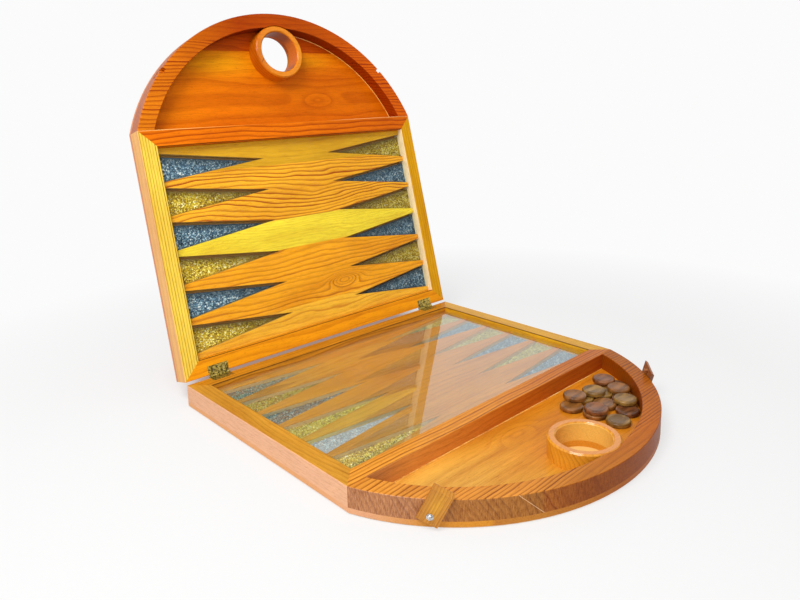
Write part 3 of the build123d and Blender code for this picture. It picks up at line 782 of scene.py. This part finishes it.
# The chips: radii in metres, shares of the bed's length, depths and reaches in radii, and tilt in radians
CHIPS_PER_BED = 800
CHIP_RADII = (0.0008, 0.0017)
CHIP_SPREAD = (0.002, 0.985)
CHIP_DEPTHS = (-0.3, 0.35)
CHIP_TILT = 0.8
CHIP_REACHES = (0.7, 1.15)
CHIP_POINTS = [(1, 0, 0), (-1, 0, 0), (0, 1, 0), (0, -1, 0), (0, 0, 1), (0, 0, -1)]
CHIP_FACES = [
    (0, 2, 4), (2, 1, 4), (1, 3, 4), (3, 0, 4), (2, 0, 5), (1, 2, 5), (3, 1, 5), (0, 3, 5),
]


def crushed_chips(name, leaf, node, chance):
    """Rough chips strewn over the top of each pointed bed of a node."""
    matrix = LEAVES[leaf]
    points = []
    faces = []
    for low, high in islands(node, matrix):
        tip, base = sorted((low.x, high.x), key=abs)
        middle = (low.y + high.y) / 2
        half = (high.y - low.y) / 2
        for _ in range(CHIPS_PER_BED):
            size = chance.uniform(*CHIP_RADII)
            along = math.sqrt(chance.uniform(*CHIP_SPREAD))
            room = max(0.0, along * half - size)
            place = Vector((
                tip + (base - tip) * along, middle + chance.uniform(-room, room),
                high.z + chance.uniform(*CHIP_DEPTHS) * size))
            turn = Matrix.Rotation(chance.uniform(0, 6.28), 3, "Z")
            turn = turn @ Matrix.Rotation(chance.uniform(-CHIP_TILT, CHIP_TILT), 3, "X")
            first = len(points)
            for corner in CHIP_POINTS:
                reach = size * chance.uniform(*CHIP_REACHES)
                points.append(matrix @ (place + turn @ (Vector(corner) * reach)))
            faces += [tuple(first + index for index in face) for face in CHIP_FACES]
    data = bpy.data.meshes.new(name)
    data.from_pydata(points, [], faces)
    piece = add_object(name, data)
    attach(piece, BODIES[leaf])
    return piece


# The palest stops are pale mineral, and on the chips they are partly a painted sparkle
BLUES = [
    (0.0, srgb(26, 42, 56)), (0.2, srgb(56, 84, 106)), (0.4, srgb(92, 128, 152)), (0.6, srgb(128, 164, 184)),
    (0.78, srgb(166, 198, 210)), (0.92, srgb(206, 224, 228)), (1.0, srgb(236, 244, 244)),
]
GOLDS = [
    (0.0, srgb(112, 82, 8)), (0.2, srgb(166, 132, 16)), (0.4, srgb(214, 182, 36)), (0.6, srgb(240, 214, 66)),
    (0.78, srgb(250, 234, 104)), (0.92, srgb(254, 244, 150)), (1.0, srgb(255, 250, 206)),
]
tints = {
    "blue": dict(stops=BLUES, shade=srgb(34, 54, 64), veil=srgb(150, 206, 190), haze=0.5, mute=srgb(116, 142, 152)),
    "gold": dict(stops=GOLDS, shade=srgb(96, 74, 14), veil=srgb(190, 206, 170), haze=0.0, mute=srgb(148, 154, 112)),
}

chance = random.Random(7)
for leaf in LEAVES:
    for tint in tints:
        bed = f"{leaf}_{tint}_granules"
        dress(bed, granules(bed, leaf, spread=False, **tints[tint]))
        chips = crushed_chips(f"{leaf}_{tint}_chips", leaf, bed, chance)
        chips.data.materials.append(granules(f"{leaf}_{tint}_chips", leaf, spread=True, **tints[tint]))

# Varnish pooled along the foot of the tray walls, its pale colour partly a painted highlight: size in mm, and section
# out from the wall and up
FILLET = 0.8
FILLET_SECTION = [(-0.1, -0.1), (1.0, -0.1), (1.0, 0.02), (0.5, 0.16), (0.2, 0.42), (0.04, 1.0), (-0.1, 1.0)]


def arc(centre, radius, start, end, steps):
    """Points of an arc round (0, centre), from one angle to another."""
    return [
        (radius * math.cos(start + (end - start) * step / steps),
         centre + radius * math.sin(start + (end - start) * step / steps))
        for step in range(steps + 1)]


def varnish_fillet(name, leaf, paths, material):
    """A hollow-faced bead along paths on the tray floor, each with its wall on its right."""
    mesh = bmesh.new()
    for path in paths:
        rings = []
        for index, (x, y) in enumerate(path):
            before = path[max(index - 1, 0)]
            after = path[min(index + 1, len(path) - 1)]
            ahead = Vector((after[0] - before[0], after[1] - before[1])).normalized()
            away = Vector((-ahead.y, ahead.x))
            rings.append([
                mesh.verts.new((x + away.x * out * FILLET, y + away.y * out * FILLET, TRAY_FLOOR + up * FILLET))
                for out, up in FILLET_SECTION])
        for one, two in zip(rings, rings[1:]):
            for step in range(len(FILLET_SECTION)):
                after = (step + 1) % len(FILLET_SECTION)
                mesh.faces.new((one[step], two[step], two[after], one[after]))
        mesh.faces.new(rings[0])
        mesh.faces.new(reversed(rings[-1]))
    bmesh.ops.recalc_face_normals(mesh, faces=mesh.faces)
    bmesh.ops.transform(mesh, matrix=LEAVES[leaf] @ Matrix.Scale(MM, 4), verts=mesh.verts)
    piece = add_mesh(name, mesh, material)
    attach(piece, BODIES[leaf])


def varnish(name):
    """Thick glossy varnish with a cloudy amber colour; its pale yellow is partly a painted highlight."""
    shader = Shader(name)
    places = shader.leaf_coordinates(Matrix.Identity(4))
    cloud = shader.noise(shader.stretched(places, (14.0, 14.0, 14.0)), 0.0, 2.0)
    colour = shader.ramp(cloud, [(0.3, srgb(206, 116, 20)), (0.5, srgb(238, 170, 66)), (0.7, srgb(252, 206, 116))])
    shader.principled(
        Base_Color=colour, Roughness=shader.remap(cloud, 0.1, 0.3), Coat_Weight=1.0, Coat_Roughness=0.05)
    return shader.material


def tray_paths():
    """The foot of the divider, and of the rim up to the ring on the +X side."""
    rise = STRAIGHT_DEPTH - RIM_CENTRE
    reach = math.sqrt(RIM_INNER_RADIUS**2 - rise**2)
    foot = math.atan2(rise, reach)
    lift = RING_CENTRE - RIM_CENTRE
    meeting = math.asin((RIM_INNER_RADIUS**2 + lift**2 - RING_RADIUS**2) / (2 * RIM_INNER_RADIUS * lift))
    divider = [(reach * (1 - 2 * step / 20), STRAIGHT_DEPTH) for step in range(21)]
    return divider[::-1], arc(RIM_CENTRE, RIM_INNER_RADIUS, foot, meeting, 40)


varnish_and_highlight = varnish("varnish_and_painted_highlight")
divider_foot, rim_foot = tray_paths()
varnish_fillet("lower_tray_fillets", "lower", [divider_foot], varnish_and_highlight)
varnish_fillet("upper_tray_fillets", "upper", [divider_foot, rim_foot], varnish_and_highlight)

# Checkers: sizes in metres, and the profile from the middle out in shares of the radius and of half the thickness
CHECKER_RADIUS = 0.014
CHECKER_THICKNESS = 0.0055
CHECKER_STEPS = 48
CHECKER_PROFILE = [
    (0.0, 0.78), (0.52, 0.78), (0.60, 0.86), (0.68, 0.98), (0.74, 0.98), (0.77, 0.88), (0.80, 0.98),
    (0.86, 1.0), (0.92, 0.94), (0.97, 0.78), (1.0, 0.5), (1.0, 0.0),
]


def turned_disc(name, middle, radius, turn, material):
    """A disc turned on both faces: dished middle, a bead and a groove, and a round edge."""
    half = [(across * radius, up * CHECKER_THICKNESS / 2) for across, up in CHECKER_PROFILE]
    profile = half + [(across, -up) for across, up in reversed(half[:-1])]
    mesh = bmesh.new()
    rings = []
    for across, up in profile:
        if across == 0:
            rings.append([mesh.verts.new((0, 0, up))])
        else:
            rings.append([
                mesh.verts.new((across * math.cos(angle), across * math.sin(angle), up))
                for angle in (2 * math.pi * step / CHECKER_STEPS for step in range(CHECKER_STEPS))])
    for upper, lower in zip(rings, rings[1:]):
        for step in range(CHECKER_STEPS):
            after = (step + 1) % CHECKER_STEPS
            if len(upper) == 1:
                mesh.faces.new((upper[0], lower[step], lower[after]))
            elif len(lower) == 1:
                mesh.faces.new((upper[after], upper[step], lower[0]))
            else:
                mesh.faces.new((upper[step], lower[step], lower[after], upper[after]))
    for face in mesh.faces:
        face.smooth = True
    bmesh.ops.transform(mesh, matrix=Matrix.Translation(middle) @ Matrix.Rotation(turn, 4, "Z"), verts=mesh.verts)
    return add_mesh(name, mesh, material)


checker_materials = [
    walnut("walnut_olive", srgb(160, 120, 56), srgb(104, 72, 26), 1.0),
    walnut("walnut_plum", srgb(144, 90, 50), srgb(84, 46, 24), 6.0),
    walnut("walnut_brown", srgb(152, 98, 44), srgb(94, 56, 20), 11.0),
]
chance = random.Random(28)
for layer in ("checkers_below", "checkers_on_top"):
    for index, (low, high) in enumerate(islands(layer)):
        disc = turned_disc(
            f"{layer}_{index + 1}", (low + high) / 2, CHECKER_RADIUS * chance.uniform(0.975, 1.0),
            chance.uniform(0, 2 * math.pi), checker_materials[chance.choice((0, 0, 1, 2, 2))])
        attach(disc, layer)
        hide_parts(layer)

# The stage: the floor's radius in metres, and its zones in millimetres, each from where to where it fades
FLOOR_RADIUS = 4.0
FLOOR_FADE = (430.0, 850.0)
HAND_HOLE = (0.0, -180.2)
HOLE_FADE = (34.0, 44.0)
LEAN_START = (200.0, 214.0)
LEAN_END = (300.0, 390.0)
LEAN_SIDES = (176.0, 226.0)
BOUNCED = srgb(232, 196, 120)
GLOW = 0.925
GLOW_SHARE = 0.7
BACKGROUND = 0.965
WORLD_LIGHT = 0.55


def make_floor():
    """Pale paper that keeps the shadows and fades to the background.

    It glows a little, but not under the leaning leaf, nor in the hand hole, where it is warm as if lit off the wood.
    """
    shader = Shader("pale_floor")
    x, y, z = shader.leaf_coordinates(Matrix.Identity(4))
    hole_x, hole_y = HAND_HOLE
    from_hole = shader.reach(shader.math("SUBTRACT", x, hole_x), shader.math("SUBTRACT", y, hole_y))
    grit = shader.noise(shader.stretched((x, y, z), (6.0, 6.0, 6.0)), 0.0, 2.0)
    colour = shader.mix(
        shader.remap(from_hole, 1.0, 0.0, *HOLE_FADE), shader.ramp(grit, [(0.0, 0.80), (1.0, 0.84)]), BOUNCED)
    paper = shader.filled("BsdfDiffuse", Color=colour)
    lean = shader.math("MULTIPLY", shader.remap(y, 0.0, 1.0, *LEAN_START), shader.remap(y, 1.0, 0.0, *LEAN_END))
    lean = shader.math("MULTIPLY", lean, shader.remap(shader.math("ABSOLUTE", x), 1.0, 0.0, *LEAN_SIDES))
    share = shader.math(
        "MULTIPLY", shader.remap(from_hole, 0.0, GLOW_SHARE, *HOLE_FADE), shader.math("SUBTRACT", 1.0, lean))
    near = shader.blend(share, paper, shader.filled("Emission", Strength=GLOW))
    far = shader.filled("Emission", Strength=BACKGROUND)
    faded = shader.blend(shader.remap(shader.reach(x, y), 0.0, 1.0, *FLOOR_FADE), near, far)
    path = shader.node("LightPath").outputs
    seen = shader.math("MAXIMUM", path["Is Camera Ray"], shader.math(
        "MAXIMUM", path["Is Glossy Ray"], path["Is Transmission Ray"]))
    shader.feed(shader.output.inputs["Surface"], shader.blend(seen, paper, faded))
    mesh = bmesh.new()
    bmesh.ops.create_circle(mesh, cap_ends=True, radius=FLOOR_RADIUS, segments=96)
    floor = add_mesh("floor", mesh, shader.material)


def make_world():
    """Soft white light all round, with the background's own white where it is seen or mirrored."""
    world = bpy.data.worlds.new("studio")
    bpy.context.scene.world = world
    world.use_nodes = True
    tree = world.node_tree
    tree.nodes.clear()

    def node(kind):
        return tree.nodes.new("ShaderNode" + kind)

    path = node("LightPath").outputs
    seen = path["Is Camera Ray"]
    for name in ("Is Glossy Ray", "Is Transmission Ray"):
        either = node("Math")
        either.operation = "MAXIMUM"
        tree.links.new(seen, either.inputs[0])
        tree.links.new(path[name], either.inputs[1])
        seen = either.outputs[0]
    final = node("MixShader")
    tree.links.new(seen, final.inputs[0])
    for slot, strength in ((1, WORLD_LIGHT), (2, BACKGROUND)):
        light = node("Background")
        light.inputs["Color"].default_value = (1, 1, 1, 1)
        light.inputs["Strength"].default_value = strength
        tree.links.new(light.outputs[0], final.inputs[slot])
    tree.links.new(final.outputs[0], node("OutputWorld").inputs["Surface"])


def area_light(name, place, target, size, power):
    """A round soft lamp at a place, aimed at a target."""
    data = bpy.data.lights.new(name, "AREA")
    data.shape = "DISK"
    data.size = size
    data.energy = power
    lamp = add_object(name, data)
    lamp.location = place
    lamp.rotation_euler = (Vector(target) - Vector(place)).to_track_quat("-Z", "Y").to_euler()


# The camera, fitted to the photo's view
LENS = 31.34
LENS_SHIFT = (-0.0451, -0.1124)
CAMERA_PLACE = (-0.57249, -0.54042, 0.38391)
CAMERA_RIGHT = (0.70399, -0.71010, -0.01240)
CAMERA_UP = (0.13515, 0.11681, 0.98391)


def make_camera():
    data = bpy.data.cameras.new("camera")
    data.sensor_fit = "HORIZONTAL"
    data.sensor_width = 36.0
    data.lens = LENS
    data.shift_x, data.shift_y = LENS_SHIFT
    data.clip_start = 0.02
    camera = add_object("camera", data)
    right = Vector(CAMERA_RIGHT)
    up = Vector(CAMERA_UP)
    turn = Matrix((right, up, right.cross(up))).transposed()
    camera.matrix_world = Matrix.Translation(CAMERA_PLACE) @ turn.to_4x4()
    bpy.context.scene.camera = camera


make_floor()
make_world()
area_light("key", place=(-0.8, -0.2, 1.2), target=(0, 0, 0.1), size=0.7, power=14.0)
area_light("fill", place=(-1.1, -1.5, 1.0), target=(0, 0.1, 0.15), size=1.2, power=9.0)
make_camera()
bpy.context.scene.view_settings.view_transform = "Standard"
